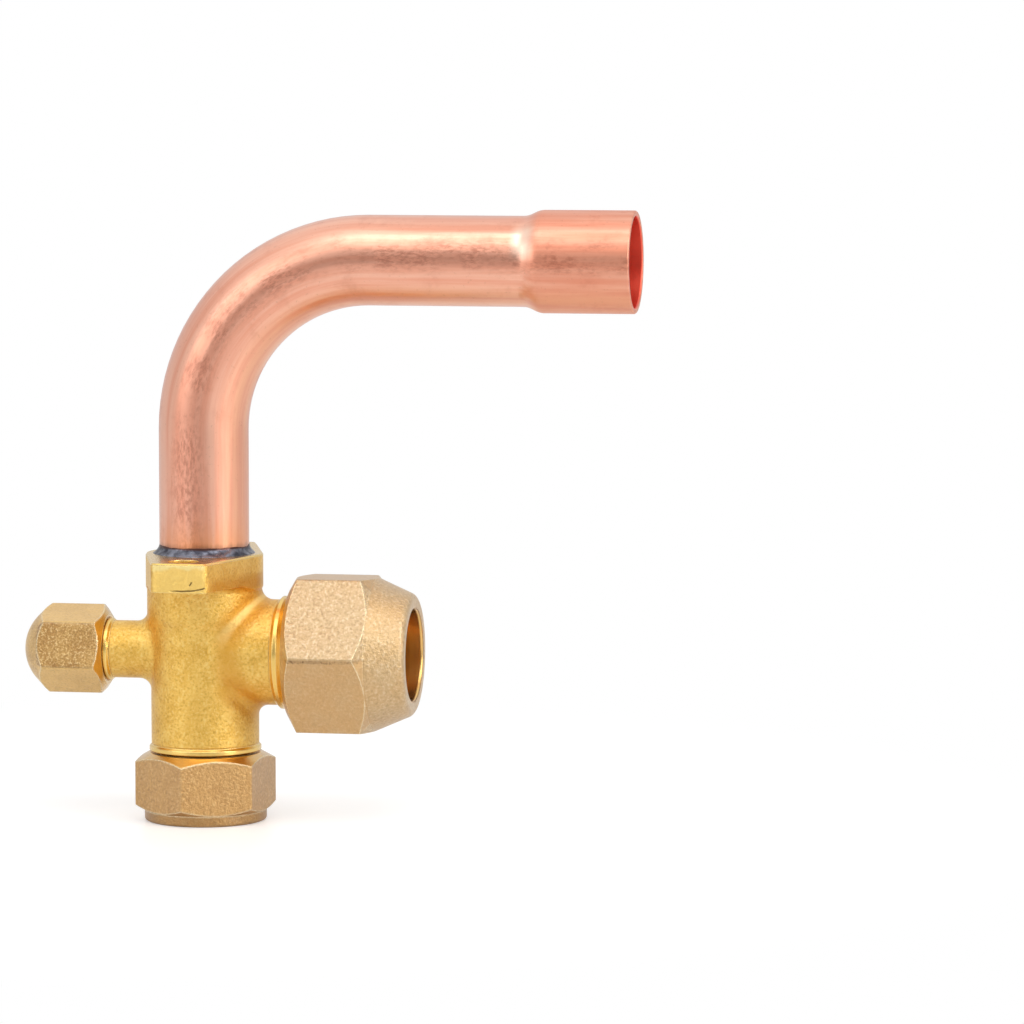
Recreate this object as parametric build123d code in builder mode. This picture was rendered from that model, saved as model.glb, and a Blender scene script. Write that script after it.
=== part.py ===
from build123d import *
from math import radians, sqrt, tan
import os

# Service valve for a split air conditioner, 5/8 in gas side, standing on its stem cap.
# Frame: millimetres. The origin is the middle of the stem cap's end face, +Z runs up the stem and the tube,
# +X runs out of the flare port, and the bent tube's arm points the same way. The service port points to -X.
# Threads are plain cylinders at their pitch diameter.

os.makedirs("parts", exist_ok=True)

# ---- driving dimensions ------------------------------------------------------------------------------

running_clearance = 0.07      # radial, between a thread or a stem and its bore
braze_gap = 0.05              # radial, between the tube and its brazed socket
seat_gap = 0.30               # left between metal seats that only close under a spanner
envelope_margin = 0.05        # how far a turned envelope passes outside a hexagon's corners

# copper outlet tube
tube_od = 15.88
tube_wall = 1.00
bend_radius = 30.0            # of the centre line
arm_height = 99.6             # of the horizontal arm's centre line
arm_length = 57.4             # from the stem axis to the swage
swage_length = 3.8
swage_clearance = 0.06        # radial, for the next tube of the same size
cup_depth = 16.0
cup_rim_radius = 0.35
braze_height = 1.8
braze_width = 1.5
braze_feather = 0.19          # width left at its upper edge
braze_hollow = 2.9            # radius of its concave face

# forged body: barrel, hub and flange
port_height = 30.1            # of the flare and service port axes
body_rise = 17.5              # from the port axes to the hub's top
tube_socket_depth = 5.8
hub_wall = 2.40               # outside the tube's socket
hub_step = 0.20               # the barrel under the flange is slimmer than the hub by this
barrel_wall = 3.90            # outside the stem's bore
barrel_step_rise = 4.1        # from the port axes to where the lower barrel swells to the upper one
barrel_step_length = 2.6
collar_step = 0.38            # turned collar at the barrel's lower end
collar_height = 0.75
flange_thickness = 5.1
flange_root_radius = 1.8
flange_root_bite = 0.08       # how far the hollow root runs into the barrel
flange_hole_d = 5.5
flange_hole_spacing = 31.6
ear_end_margin = 4.0          # from a hole's centre to the end of its ear
ear_width = 10.4
ear_corner_radius = 1.3
edge_break = 0.30             # chamfer along machined edges
forging_fillet = 2.2          # hollow corners where the arms leave the barrel

# stem, its bore and its seat
stem_thread_major = 12.0
stem_thread_pitch = 1.25
stem_travel = 8.9
stem_head_r = 6.22
stem_head_length = 5.9
stem_open_drop = 0.83         # from the port axes down to the open stem's tip
hex_key_af = 5.0
hex_key_depth = 4.6
nose_r = 5.10
nose_length = 1.0
nose_cone_length = 2.3
nose_relief_length = 1.2
nose_relief_depth = 0.6
seat_r = 4.30
seat_land = 1.6
passage_r = 6.50              # between the seat and the tube
o_ring_section = 1.10
o_ring_groove_width = 1.60
ring_margin = 0.80            # of bore below the stem's retaining ring
ring_thickness = 0.80
ring_groove_depth = 0.60
ring_width = 1.10
ring_gap = 52.0               # degrees
ring_lug_turn = 9.0           # degrees, from the gap's edge to the middle of a lug
ring_lug_r = 1.25
ring_lug_hole_r = 0.50

# neck and stem cap
neck_thread_major = 18.0
neck_thread_pitch = 1.50
neck_relief_length = 1.3
neck_relief_depth = 0.56
neck_end_chamfer = 0.6
stem_cap_af = 22.0
stem_cap_height = 12.2
stem_cap_floor = 2.4
stem_cap_corner_radius = 0.4  # rounding along the hexagon's corners
stem_cap_lip_r = 10.85
stem_cap_lip_height = 1.9
stem_cap_lip_radius = 0.55
stem_cap_rim_r = 9.95
stem_cap_top_chamfer = 1.6    # height of the chamfer at the hexagon's upper corners
stem_cap_low_chamfer = 1.1    # and at its lower corners
stem_cap_turn = 23.0          # degrees, how the cap's flats happen to stand
stem_gasket_thickness = 1.0

# flare port and nut
flare_thread_major = 22.23
flare_thread_pitch = 25.4 / 14
flare_bore_r = 5.90
branch_wall = 3.45
shoulder_x = 14.3             # turned shoulder behind the flare thread
shoulder_step = 0.65
shoulder_width = 0.7
shoulder_cone = 1.1
crest_length = 1.1            # first full-height crest behind the nut
nut_af = 27.0
nut_back_x = 16.2
nut_length = 21.7
nut_corner_radius = 0.5       # rounding along the hexagon's corners
nut_back_rim = 0.85           # width of the nut's back face
nut_back_chamfer = 2.2
nut_throat_clearance = 0.16   # radial, over a tube of the outlet's size
nut_throat_length = 6.4
nut_taper_length = 6.65       # long cone at the nut's front
nut_taper_drop = 2.9
nut_front_chamfer = 1.7       # height of the chamfer at the hexagon's front corners
nut_front_rounding = 1.5
nut_throat_rounding = 0.55
nut_entry_depth = 1.4
nut_turn = -2.5               # degrees, how the nut's flats happen to stand
flare_nose_wall = 0.55        # width of the flare nose's end face

# service port and its cap
service_thread_major = 11.11
service_thread_pitch = 25.4 / 20
service_neck_r = 5.10
service_collar_x = 16.4
service_collar_width = 0.6
service_end_x = 27.0
service_nose_wall = 0.55
service_cap_af = 14.0
service_cap_corner_radius = 1.0
service_cap_rim_x = 17.4
service_cap_length = 15.2
service_cap_rim_chamfer = 1.3
service_cap_rim_wall = 0.35
service_cap_hex_length = 10.5 # from the rim to where the end's chamfer starts
service_gasket_thickness = 0.8
service_cap_turn = 40.5       # degrees, how the cap's flats happen to stand

# depressor core in the service port
core_thread_r = 2.68
core_plug_length = 4.8
core_plug_recess = 0.6
core_plug_bore_r = 1.45
core_bridge_width = 1.5
core_bridge_length = 1.7
core_bore_r = 2.15
core_bore_end = 9.2
core_barrel_r = 1.95
core_barrel_bore_r = 1.35
core_barrel_length = 6.6
core_shoulder_r = 0.95
core_shoulder_length = 1.2
core_gasket_length = 1.0
core_pin_r = 0.50
core_pin_recess = 0.2         # below the plug's outer face
core_pin_length = 13.2
core_collar_thickness = 0.30
core_spring_wire = 0.28
core_spring_turns = 6
core_seal_thickness = 0.70
core_seal_grip = 0.45         # how deep the seal sits in its cup
core_poppet_r = 1.85
core_poppet_length = 1.35
core_poppet_wall = 0.20
inlet_hole_r = 1.50


def pitch_radius(major, pitch):
    """Radius where the ridge and groove of a 60 degree thread are equally wide."""
    return major / 2 - 0.32476 * pitch


# ---- sizes that follow -----------------------------------------------------------------------------------

tube_r = tube_od / 2
tube_bore_r = tube_r - tube_wall
cup_bore_r = tube_r + swage_clearance
cup_r = cup_bore_r + tube_wall
swage_end = arm_length + swage_length
cup_end = swage_end + cup_depth

body_top = port_height + body_rise
barrel_step_height = port_height + barrel_step_rise
neck_end = stem_cap_floor + stem_gasket_thickness
neck_thread_r = pitch_radius(neck_thread_major, neck_thread_pitch)
neck_bore_r = neck_thread_r + running_clearance
neck_relief_r = neck_thread_r - neck_relief_depth
stem_thread_r = pitch_radius(stem_thread_major, stem_thread_pitch)
stem_bore_r = stem_head_r + running_clearance
chamber_r = stem_thread_r + running_clearance
lower_barrel_r = chamber_r + barrel_wall
collar_r = lower_barrel_r + collar_step
collar_bottom = stem_cap_height + seat_gap
collar_top = collar_bottom + collar_height
socket_r = tube_r + braze_gap
hub_r = socket_r + hub_wall
upper_barrel_r = hub_r - hub_step
flange_bottom = body_top - flange_thickness
socket_floor = body_top - tube_socket_depth
flange_half_length = flange_hole_spacing / 2 + ear_end_margin

ring_bottom = neck_end + ring_margin
ring_top = ring_bottom + ring_thickness
ring_groove_r = stem_bore_r + ring_groove_depth
ring_r = ring_groove_r - running_clearance
stem_bottom = ring_top + running_clearance
stem_head_top = stem_bottom + stem_head_length
stem_top = port_height - stem_open_drop
nose_base = stem_top - nose_cone_length
seat_height = nose_base + (nose_r - seat_r) + stem_travel + running_clearance
thread_bore_bottom = stem_head_top + stem_travel + seat_gap
o_ring_play = running_clearance / 2
o_ring_path_r = stem_bore_r - o_ring_play - o_ring_section / 2
o_ring_groove_r = o_ring_path_r - o_ring_section / 2 - o_ring_play
o_ring_land = (stem_head_length - 2 * o_ring_groove_width) / 3
o_ring_heights = [
    stem_bottom + o_ring_land + o_ring_groove_width / 2,
    stem_head_top - o_ring_land - o_ring_groove_width / 2,
]

branch_r = flare_bore_r + branch_wall
shoulder_r = branch_r + shoulder_step
flare_thread_r = pitch_radius(flare_thread_major, flare_thread_pitch)
flare_crest_r = flare_thread_major / 2 - running_clearance
crest_x = shoulder_x + shoulder_width + shoulder_cone
nut_thread_r = flare_thread_r + running_clearance
nut_entry_r = flare_crest_r + running_clearance
nut_entry_x = nut_back_x + nut_entry_depth
nut_front_x = nut_back_x + nut_length
nut_throat_r = tube_r + nut_throat_clearance
nut_throat_x = nut_front_x - nut_throat_length
nut_flat_r = nut_af / 2
nut_corner_r = nut_af / sqrt(3)
nut_taper_x = nut_front_x - nut_taper_length
flare_nose_r = flare_bore_r + flare_nose_wall
flare_nose_x = nut_throat_x - seat_gap * sqrt(2) + nut_throat_r - flare_nose_r
flare_cone_x = flare_nose_x + flare_nose_r - flare_thread_r

service_thread_r = pitch_radius(service_thread_major, service_thread_pitch)
service_bore_r = service_thread_r + running_clearance
service_crest_r = service_thread_major / 2 - running_clearance
service_collar_end = service_collar_x + service_crest_r - service_neck_r + service_collar_width
service_cap_floor_x = service_end_x + service_gasket_thickness
service_cap_end_x = service_cap_rim_x + service_cap_length
service_flat_r = service_cap_af / 2
service_corner_r = service_cap_af / sqrt(3)

core_thread_bore_r = core_thread_r + running_clearance
service_nose_r = core_thread_bore_r + service_nose_wall
service_cone_x = service_end_x - service_thread_r + service_nose_r
plug_outer = service_end_x - core_plug_recess
plug_inner = plug_outer - core_plug_length
barrel_inner = plug_inner - core_barrel_length
spring_seat = barrel_inner + core_shoulder_length
core_gasket_outer = plug_inner - core_gasket_length
core_gasket_inner = core_gasket_outer - core_gasket_length
pin_outer = plug_outer - core_pin_recess
pin_inner = pin_outer - core_pin_length
pin_collar_outer = plug_inner - running_clearance
pin_collar_inner = pin_collar_outer - core_collar_thickness
seal_inner = barrel_inner - core_seal_thickness

# Axes and planes. The two port planes hold turned profiles as (distance from the stem axis, radius).
stem_axis = Axis.Z
port_axis = Axis((0, 0, port_height), (1, 0, 0))
arm_axis = Axis((0, 0, arm_height), (1, 0, 0))
flare_profile = Plane(origin=(0, 0, port_height), x_dir=(1, 0, 0), z_dir=(0, -1, 0))
service_profile = Plane(origin=(0, 0, port_height), x_dir=(-1, 0, 0), z_dir=(0, 1, 0))
flare_face = Plane(origin=(0, 0, port_height), x_dir=(0, 1, 0), z_dir=(1, 0, 0))
service_face = Plane(origin=(0, 0, port_height), x_dir=(0, -1, 0), z_dir=(-1, 0, 0))


# ---- valve body ------------------------------------------------------------------------------------------
# One brass forging: barrel and hub, flare arm, service arm and a lozenge flange, then bored and threaded.

# The flange's lozenge: two ears whose flanks run tangent to the hub, with a hollow root under it.
with BuildPart() as flange:
    with BuildSketch(Plane.XY.offset(flange_bottom - flange_root_radius)) as lozenge:
        Circle(hub_r)
        ear_end = flange_half_length - ear_corner_radius
        for side in (-1, 1):
            for corner in (-1, 1):
                with Locations((corner * (ear_width / 2 - ear_corner_radius), side * ear_end)):
                    Circle(ear_corner_radius)
        make_hull()
    extrude(amount=flange_thickness + flange_root_radius)
    with BuildSketch(Plane.XZ):
        with BuildLine():
            root_r = upper_barrel_r - flange_root_bite
            root_start = (root_r, flange_bottom - flange_root_radius)
            root_end = (root_r + flange_root_radius, flange_bottom)
            RadiusArc(root_start, root_end, flange_root_radius)
            Polyline(
                root_end,
                (2 * flange_half_length, flange_bottom),
                (2 * flange_half_length, flange_bottom - 2 * flange_root_radius),
                (root_r, flange_bottom - 2 * flange_root_radius),
                root_start,
            )
        make_face()
    revolve(axis=stem_axis, mode=Mode.SUBTRACT)
    chamfer(flange.faces().sort_by(Axis.Z)[-1].edges(), edge_break)

with BuildPart() as valve_body:
    # barrel and hub, with a soft step between them, and the turned neck below the collar
    with BuildSketch(Plane.XZ):
        with BuildLine():
            Polyline(
                (0, neck_end),
                (neck_thread_r - neck_end_chamfer, neck_end),
                (neck_thread_r, neck_end + neck_end_chamfer),
                (neck_thread_r, collar_bottom - neck_relief_length),
                (neck_relief_r, collar_bottom - neck_relief_length + neck_relief_depth),
                (neck_relief_r, collar_bottom),
                (collar_r - edge_break / 2, collar_bottom),
                (collar_r, collar_bottom + edge_break / 2),
                (collar_r, collar_top),
                (lower_barrel_r, collar_top + collar_step),
                (lower_barrel_r, barrel_step_height),
            )
            Spline(
                (lower_barrel_r, barrel_step_height),
                (upper_barrel_r, barrel_step_height + barrel_step_length),
                tangents=((0, 1), (0, 1)),
            )
            Polyline(
                (upper_barrel_r, barrel_step_height + barrel_step_length),
                (upper_barrel_r, body_top),
                (0, body_top),
                (0, neck_end),
            )
        make_face()
    revolve(axis=stem_axis)
    add(flange.part)
    # flare arm and service arm, each with the forging's hollow corner where it leaves the barrel
    with BuildSketch(flare_face):
        Circle(branch_r)
    extrude(amount=shoulder_x)
    fillet(valve_body.edges(Select.NEW), forging_fillet)
    with BuildSketch(service_face):
        Circle(service_neck_r)
    extrude(amount=service_collar_x)
    fillet(valve_body.edges(Select.NEW), forging_fillet)
    with BuildSketch(Plane.XY.offset(body_top)):
        with GridLocations(0, flange_hole_spacing, 1, 2):
            Circle(flange_hole_d / 2)
    extrude(amount=-flange_thickness, mode=Mode.SUBTRACT)
    # turned end of the flare arm: shoulder, thread and 45 degree nose
    with BuildSketch(flare_profile):
        with BuildLine():
            Polyline(
                (shoulder_x - shoulder_step, 0),
                (shoulder_x - shoulder_step, branch_r),
                (shoulder_x, shoulder_r),
                (shoulder_x + shoulder_width, shoulder_r),
                (crest_x, flare_crest_r),
                (crest_x + crest_length, flare_crest_r),
                (crest_x + crest_length + flare_crest_r - flare_thread_r, flare_thread_r),
                (flare_cone_x, flare_thread_r),
                (flare_nose_x, flare_nose_r),
                (flare_nose_x, 0),
                close=True,
            )
        make_face()
    revolve(axis=port_axis)
    # turned end of the service arm: collar, thread and 45 degree nose
    with BuildSketch(service_profile):
        with BuildLine():
            Polyline(
                (service_collar_x - service_collar_width, 0),
                (service_collar_x - service_collar_width, service_neck_r),
                (service_collar_x, service_neck_r),
                (service_collar_x + service_crest_r - service_neck_r, service_crest_r),
                (service_collar_end, service_crest_r),
                (service_collar_end + service_crest_r - service_thread_r, service_thread_r),
                (service_cone_x, service_thread_r),
                (service_end_x, service_nose_r),
                (service_end_x, 0),
                close=True,
            )
        make_face()
    revolve(axis=port_axis)
    # stem bore from below, with the retaining ring's groove; the seat; the tube's socket from above
    with BuildSketch(Plane.XZ):
        with BuildLine():
            Polyline(
                (0, neck_end),
                (stem_bore_r + edge_break, neck_end),
                (stem_bore_r, neck_end + edge_break),
                (stem_bore_r, ring_bottom - running_clearance),
                (ring_groove_r, ring_bottom - running_clearance),
                (ring_groove_r, ring_top + running_clearance),
                (stem_bore_r, ring_top + running_clearance),
                (stem_bore_r, thread_bore_bottom),
                (chamber_r, thread_bore_bottom + stem_bore_r - chamber_r),
                (chamber_r, seat_height),
                (seat_r, seat_height),
                (seat_r, seat_height + seat_land),
                (passage_r, seat_height + seat_land),
                (passage_r, socket_floor),
                (socket_r, socket_floor),
                (socket_r, body_top),
                (0, body_top),
                close=True,
            )
        make_face()
    revolve(axis=stem_axis, mode=Mode.SUBTRACT)
    # flare bore
    with BuildSketch(flare_face):
        Circle(flare_bore_r)
    extrude(amount=flare_nose_x, mode=Mode.SUBTRACT)
    # service bore: core thread, seat for the core's gasket, and a small hole to the stem's chamber
    with BuildSketch(service_profile):
        with BuildLine():
            Polyline(
                (0, 0),
                (0, inlet_hole_r),
                (core_bore_end, inlet_hole_r),
                (core_bore_end, core_bore_r),
                (core_gasket_inner, core_bore_r),
                (core_gasket_outer, core_thread_bore_r),
                (service_end_x, core_thread_bore_r),
                (service_end_x, 0),
                close=True,
            )
        make_face()
    revolve(axis=port_axis, mode=Mode.SUBTRACT)

valve_body.part.label = "valve_body"
export_step(valve_body.part, "parts/valve_body.step")


# ---- outlet tube -----------------------------------------------------------------------------------------
# Half-hard copper tube, bent on a mandrel and swaged at its free end to take the next tube.

with BuildPart() as outlet_tube:
    with BuildLine(Plane.XZ) as tube_route:
        rise = Line((0, socket_floor), (0, arm_height - bend_radius))
        bend = JernArc(start=rise @ 1, tangent=rise % 1, radius=bend_radius, arc_size=-90)
        Line(bend @ 1, (arm_length, arm_height))
    with BuildSketch(Plane.XY.offset(socket_floor)):
        Circle(tube_r)
    sweep(path=tube_route.wire())
    with BuildSketch(Plane.XZ):
        with BuildLine():
            Line((arm_length, arm_height), (arm_length, arm_height + tube_r))
            Spline(
                (arm_length, arm_height + tube_r),
                (swage_end, arm_height + cup_r),
                tangents=((1, 0), (1, 0)),
            )
            Polyline(
                (swage_end, arm_height + cup_r),
                (cup_end, arm_height + cup_r),
                (cup_end, arm_height),
                (arm_length, arm_height),
            )
        make_face()
    revolve(axis=arm_axis)
    # the bore, which follows the outside
    with BuildSketch(Plane.XY.offset(socket_floor)):
        Circle(tube_bore_r)
    sweep(path=tube_route.wire(), mode=Mode.SUBTRACT)
    with BuildSketch(Plane.XZ):
        with BuildLine():
            Line((arm_length, arm_height), (arm_length, arm_height + tube_bore_r))
            Spline(
                (arm_length, arm_height + tube_bore_r),
                (swage_end, arm_height + cup_bore_r),
                tangents=((1, 0), (1, 0)),
            )
            Polyline(
                (swage_end, arm_height + cup_bore_r),
                (cup_end, arm_height + cup_bore_r),
                (cup_end, arm_height),
                (arm_length, arm_height),
            )
        make_face()
    revolve(axis=arm_axis, mode=Mode.SUBTRACT)
    cup_mouth = outlet_tube.faces().filter_by(Plane.YZ).sort_by(Axis.X)[-1]
    fillet(cup_mouth.edges(), cup_rim_radius)

outlet_tube.part.label = "outlet_tube"
export_step(outlet_tube.part, "parts/outlet_tube.step")


# ---- braze fillet ----------------------------------------------------------------------------------------
# Ring of brazing alloy drawn into a hollow fillet round the tube, on top of the hub.

with BuildPart() as braze_fillet:
    with BuildSketch(Plane.XZ):
        with BuildLine():
            braze_inner = tube_r + running_clearance / 2
            braze_foot = (braze_inner + braze_width, body_top)
            braze_crest = (braze_inner + braze_feather, body_top + braze_height)
            Polyline(braze_crest, (braze_inner, body_top + braze_height), (braze_inner, body_top), braze_foot)
            RadiusArc(braze_foot, braze_crest, -braze_hollow)
        make_face()
    revolve(axis=stem_axis)

braze_fillet.part.label = "braze_fillet"
export_step(braze_fillet.part, "parts/braze_fillet.step")


# ---- flare nut -------------------------------------------------------------------------------------------
# Forged brass hexagon with a long tapered front, screwed on the flare port.

with BuildPart() as flare_nut:
    with BuildSketch(flare_face.offset(nut_back_x)) as nut_hexagon:
        RegularPolygon(nut_flat_r, 6, major_radius=False, rotation=nut_turn)
        fillet(nut_hexagon.vertices(), nut_corner_radius)
    extrude(amount=nut_length)
    # turned envelope: back chamfer, corner chamfer, long taper and rounded front
    with BuildSketch(flare_profile) as nut_envelope:
        with BuildLine():
            Polyline(
                (nut_back_x, 0),
                (nut_back_x, nut_entry_r + nut_back_rim),
                (nut_back_x + nut_back_chamfer, nut_corner_r + envelope_margin),
                (nut_taper_x - nut_front_chamfer, nut_corner_r + envelope_margin),
                (nut_taper_x, nut_flat_r),
                (nut_front_x, nut_flat_r - nut_taper_drop),
                (nut_front_x, 0),
                close=True,
            )
        make_face()
        nut_front_corner = nut_envelope.vertices().group_by(Axis.X)[-1].sort_by(Axis.Y)[-1]
        fillet(nut_front_corner, nut_front_rounding)
    revolve(axis=port_axis, mode=Mode.INTERSECT)
    # bore: entry, thread, 45 degree flare seat and the throat that the pipe passes through
    with BuildSketch(flare_profile):
        with BuildLine():
            throat_lip = (nut_front_x - nut_throat_rounding, nut_throat_r)
            throat_edge = (nut_front_x, nut_throat_r + nut_throat_rounding)
            Polyline(
                (nut_back_x, 0),
                (nut_back_x, nut_entry_r),
                (nut_entry_x, nut_entry_r),
                (nut_entry_x + nut_entry_r - nut_thread_r, nut_thread_r),
                (nut_throat_x - nut_thread_r + nut_throat_r, nut_thread_r),
                (nut_throat_x, nut_throat_r),
                throat_lip,
            )
            RadiusArc(throat_lip, throat_edge, -nut_throat_rounding)
            Polyline(throat_edge, (nut_front_x, 0), (nut_back_x, 0))
        make_face()
    revolve(axis=port_axis, mode=Mode.SUBTRACT)

flare_nut.part.label = "flare_nut"
export_step(flare_nut.part, "parts/flare_nut.step")


# ---- valve stem ------------------------------------------------------------------------------------------
# Turned brass spindle, shown wound fully open: sealed head with a key socket, thread and conical nose.

with BuildPart() as valve_stem:
    with BuildSketch(Plane.XZ):
        with BuildLine():
            Polyline(
                (0, stem_bottom),
                (stem_head_r - edge_break, stem_bottom),
                (stem_head_r, stem_bottom + edge_break),
                (stem_head_r, stem_head_top),
                (stem_thread_r, stem_head_top + edge_break),
                (stem_thread_r, nose_base - nose_length - nose_relief_length - nose_relief_depth),
                (stem_thread_r - nose_relief_depth, nose_base - nose_length - nose_relief_length),
                (stem_thread_r - nose_relief_depth, nose_base - nose_length),
                (nose_r, nose_base - nose_length),
                (nose_r, nose_base),
                (nose_r - nose_cone_length, stem_top),
                (0, stem_top),
                close=True,
            )
        make_face()
    revolve(axis=stem_axis)
    # two grooves for the O-rings
    for height in o_ring_heights:
        with BuildSketch(Plane.XY.offset(height - o_ring_groove_width / 2)):
            Circle(stem_head_r + o_ring_section)
            Circle(o_ring_groove_r, mode=Mode.SUBTRACT)
        extrude(amount=o_ring_groove_width, mode=Mode.SUBTRACT)
    # socket for the service key
    with BuildSketch(Plane.XY.offset(stem_bottom)):
        RegularPolygon(hex_key_af / 2, 6, major_radius=False)
    extrude(amount=hex_key_depth, mode=Mode.SUBTRACT)

valve_stem.part.label = "valve_stem"
export_step(valve_stem.part, "parts/valve_stem.step")


# ---- stem O-rings ----------------------------------------------------------------------------------------
# Two rubber rings in the stem's grooves. They slide along the bore with it.

for ring_name, height in zip(("stem_o_ring_lower", "stem_o_ring_upper"), o_ring_heights):
    with BuildPart() as o_ring:
        with BuildSketch(Plane.XZ):
            with Locations((o_ring_path_r, height)):
                Circle(o_ring_section / 2)
        revolve(axis=stem_axis)
    o_ring.part.label = ring_name
    export_step(o_ring.part, "parts/" + ring_name + ".step")


# ---- stem retaining ring ---------------------------------------------------------------------------------
# Internal snap ring of spring steel with two lugs, in the groove at the neck's mouth.

with BuildPart() as stem_retaining_ring:
    with BuildSketch(Plane.XY.offset(ring_bottom)):
        Circle(ring_r)
        Circle(ring_r - ring_width, mode=Mode.SUBTRACT)
        with BuildLine():
            reach = 2 * ring_r
            gap_half = reach * tan(radians(ring_gap / 2))
            Polyline((0, 0), (-gap_half, -reach), (gap_half, -reach), close=True)
        make_face(mode=Mode.SUBTRACT)
        lug_turn = ring_gap / 2 + ring_lug_turn
        with PolarLocations(ring_r - ring_lug_r, 2, -90 - lug_turn, 4 * lug_turn):
            Circle(ring_lug_r)
            Circle(ring_lug_hole_r, mode=Mode.SUBTRACT)
    extrude(amount=ring_thickness)

stem_retaining_ring.part.label = "stem_retaining_ring"
export_step(stem_retaining_ring.part, "parts/stem_retaining_ring.step")


# ---- stem cap --------------------------------------------------------------------------------------------
# Brass hexagon cap screwed over the neck, turned round at its foot. The valve stands on it.

with BuildPart() as stem_cap:
    with BuildSketch(Plane.XY) as cap_hexagon:
        RegularPolygon(stem_cap_af / 2, 6, major_radius=False, rotation=stem_cap_turn)
        fillet(cap_hexagon.vertices(), stem_cap_corner_radius)
    extrude(amount=stem_cap_height)
    stem_cap_corner_r = stem_cap_af / sqrt(3) + envelope_margin
    with BuildSketch(Plane.XZ):
        with BuildLine():
            foot_edge = (stem_cap_lip_r - stem_cap_lip_radius, 0)
            foot_side = (stem_cap_lip_r, stem_cap_lip_radius)
            RadiusArc(foot_edge, foot_side, -stem_cap_lip_radius)
            Polyline(
                foot_side,
                (stem_cap_lip_r, stem_cap_lip_height),
                (stem_cap_corner_r, stem_cap_lip_height + stem_cap_low_chamfer),
                (stem_cap_corner_r, stem_cap_height - stem_cap_top_chamfer),
                (stem_cap_rim_r, stem_cap_height),
                (0, stem_cap_height),
                (0, 0),
                foot_edge,
            )
        make_face()
    revolve(axis=stem_axis, mode=Mode.INTERSECT)
    with BuildSketch(Plane.XZ):
        with BuildLine():
            cap_mouth_r = (stem_cap_rim_r + neck_bore_r) / 2
            Polyline(
                (0, stem_cap_floor),
                (neck_bore_r, stem_cap_floor),
                (neck_bore_r, stem_cap_height - (cap_mouth_r - neck_bore_r)),
                (cap_mouth_r, stem_cap_height),
                (0, stem_cap_height),
                close=True,
            )
        make_face()
    revolve(axis=stem_axis, mode=Mode.SUBTRACT)

stem_cap.part.label = "stem_cap"
export_step(stem_cap.part, "parts/stem_cap.step")


# ---- stem cap gasket -------------------------------------------------------------------------------------
# Flat PTFE washer on the cap's floor, which the neck's end presses on.

with BuildPart() as stem_cap_gasket:
    with BuildSketch(Plane.XY.offset(stem_cap_floor)):
        Circle(neck_bore_r - running_clearance)
        Circle(stem_bore_r + edge_break, mode=Mode.SUBTRACT)
    extrude(amount=stem_gasket_thickness)

stem_cap_gasket.part.label = "stem_cap_gasket"
export_step(stem_cap_gasket.part, "parts/stem_cap_gasket.step")


# ---- service cap -----------------------------------------------------------------------------------------
# Small brass hexagon cap with rounded corners and a domed end, screwed over the service port.

with BuildPart() as service_cap:
    with BuildSketch(service_face.offset(service_cap_rim_x)) as service_hexagon:
        RegularPolygon(service_flat_r, 6, major_radius=False, rotation=service_cap_turn)
        fillet(service_hexagon.vertices(), service_cap_corner_radius)
    extrude(amount=service_cap_length)
    with BuildSketch(service_profile):
        with BuildLine():
            service_mouth_r = service_crest_r + service_cap_rim_wall
            # the end's 45 degree chamfer runs tangent into a dome
            cap_chamfer_x = service_cap_rim_x + service_cap_hex_length
            dome_r = (cap_chamfer_x + service_corner_r - service_cap_end_x) / (sqrt(2) - 1)
            dome_start_r = dome_r / sqrt(2)
            dome_start = (cap_chamfer_x + service_corner_r - dome_start_r, dome_start_r)
            dome_tip = (service_cap_end_x, 0)
            Polyline(
                dome_tip,
                (service_cap_rim_x, 0),
                (service_cap_rim_x, service_mouth_r + service_cap_rim_wall),
                (service_cap_rim_x + service_cap_rim_chamfer, service_corner_r),
                (cap_chamfer_x, service_corner_r),
                dome_start,
            )
            RadiusArc(dome_start, dome_tip, dome_r)
        make_face()
    revolve(axis=port_axis, mode=Mode.INTERSECT)
    with BuildSketch(service_profile):
        with BuildLine():
            Polyline(
                (service_cap_rim_x, 0),
                (service_cap_rim_x, service_mouth_r),
                (service_cap_rim_x + service_mouth_r - service_bore_r, service_bore_r),
                (service_cap_floor_x, service_bore_r),
                (service_cap_floor_x, 0),
                close=True,
            )
        make_face()
    revolve(axis=port_axis, mode=Mode.SUBTRACT)

service_cap.part.label = "service_cap"
export_step(service_cap.part, "parts/service_cap.step")


# ---- service cap gasket ----------------------------------------------------------------------------------
# Rubber washer on the cap's floor, pressed by the service port's nose.

with BuildPart() as service_cap_gasket:
    with BuildSketch(service_face.offset(service_end_x)):
        Circle(service_bore_r - running_clearance)
        Circle(core_plug_bore_r, mode=Mode.SUBTRACT)
    extrude(amount=service_gasket_thickness)

service_cap_gasket.part.label = "service_cap_gasket"
export_step(service_cap_gasket.part, "parts/service_cap_gasket.step")


# ---- depressor core: plug --------------------------------------------------------------------------------
# Threaded brass head with a bridge for the core tool, which also guides the pin.

with BuildPart() as core_plug:
    with BuildSketch(service_face.offset(plug_inner)):
        Circle(core_thread_r)
    extrude(amount=core_plug_length)
    with BuildSketch(service_face.offset(plug_inner)):
        Circle(core_plug_bore_r)
    extrude(amount=core_plug_length - core_bridge_length, mode=Mode.SUBTRACT)
    with BuildSketch(service_face.offset(plug_outer)):
        Circle(core_thread_bore_r)
        Rectangle(2 * core_thread_bore_r, core_bridge_width, mode=Mode.SUBTRACT)
        Circle(core_pin_r + running_clearance)
    extrude(amount=-core_bridge_length, mode=Mode.SUBTRACT)

core_plug.part.label = "core_plug"
export_step(core_plug.part, "parts/core_plug.step")


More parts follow.
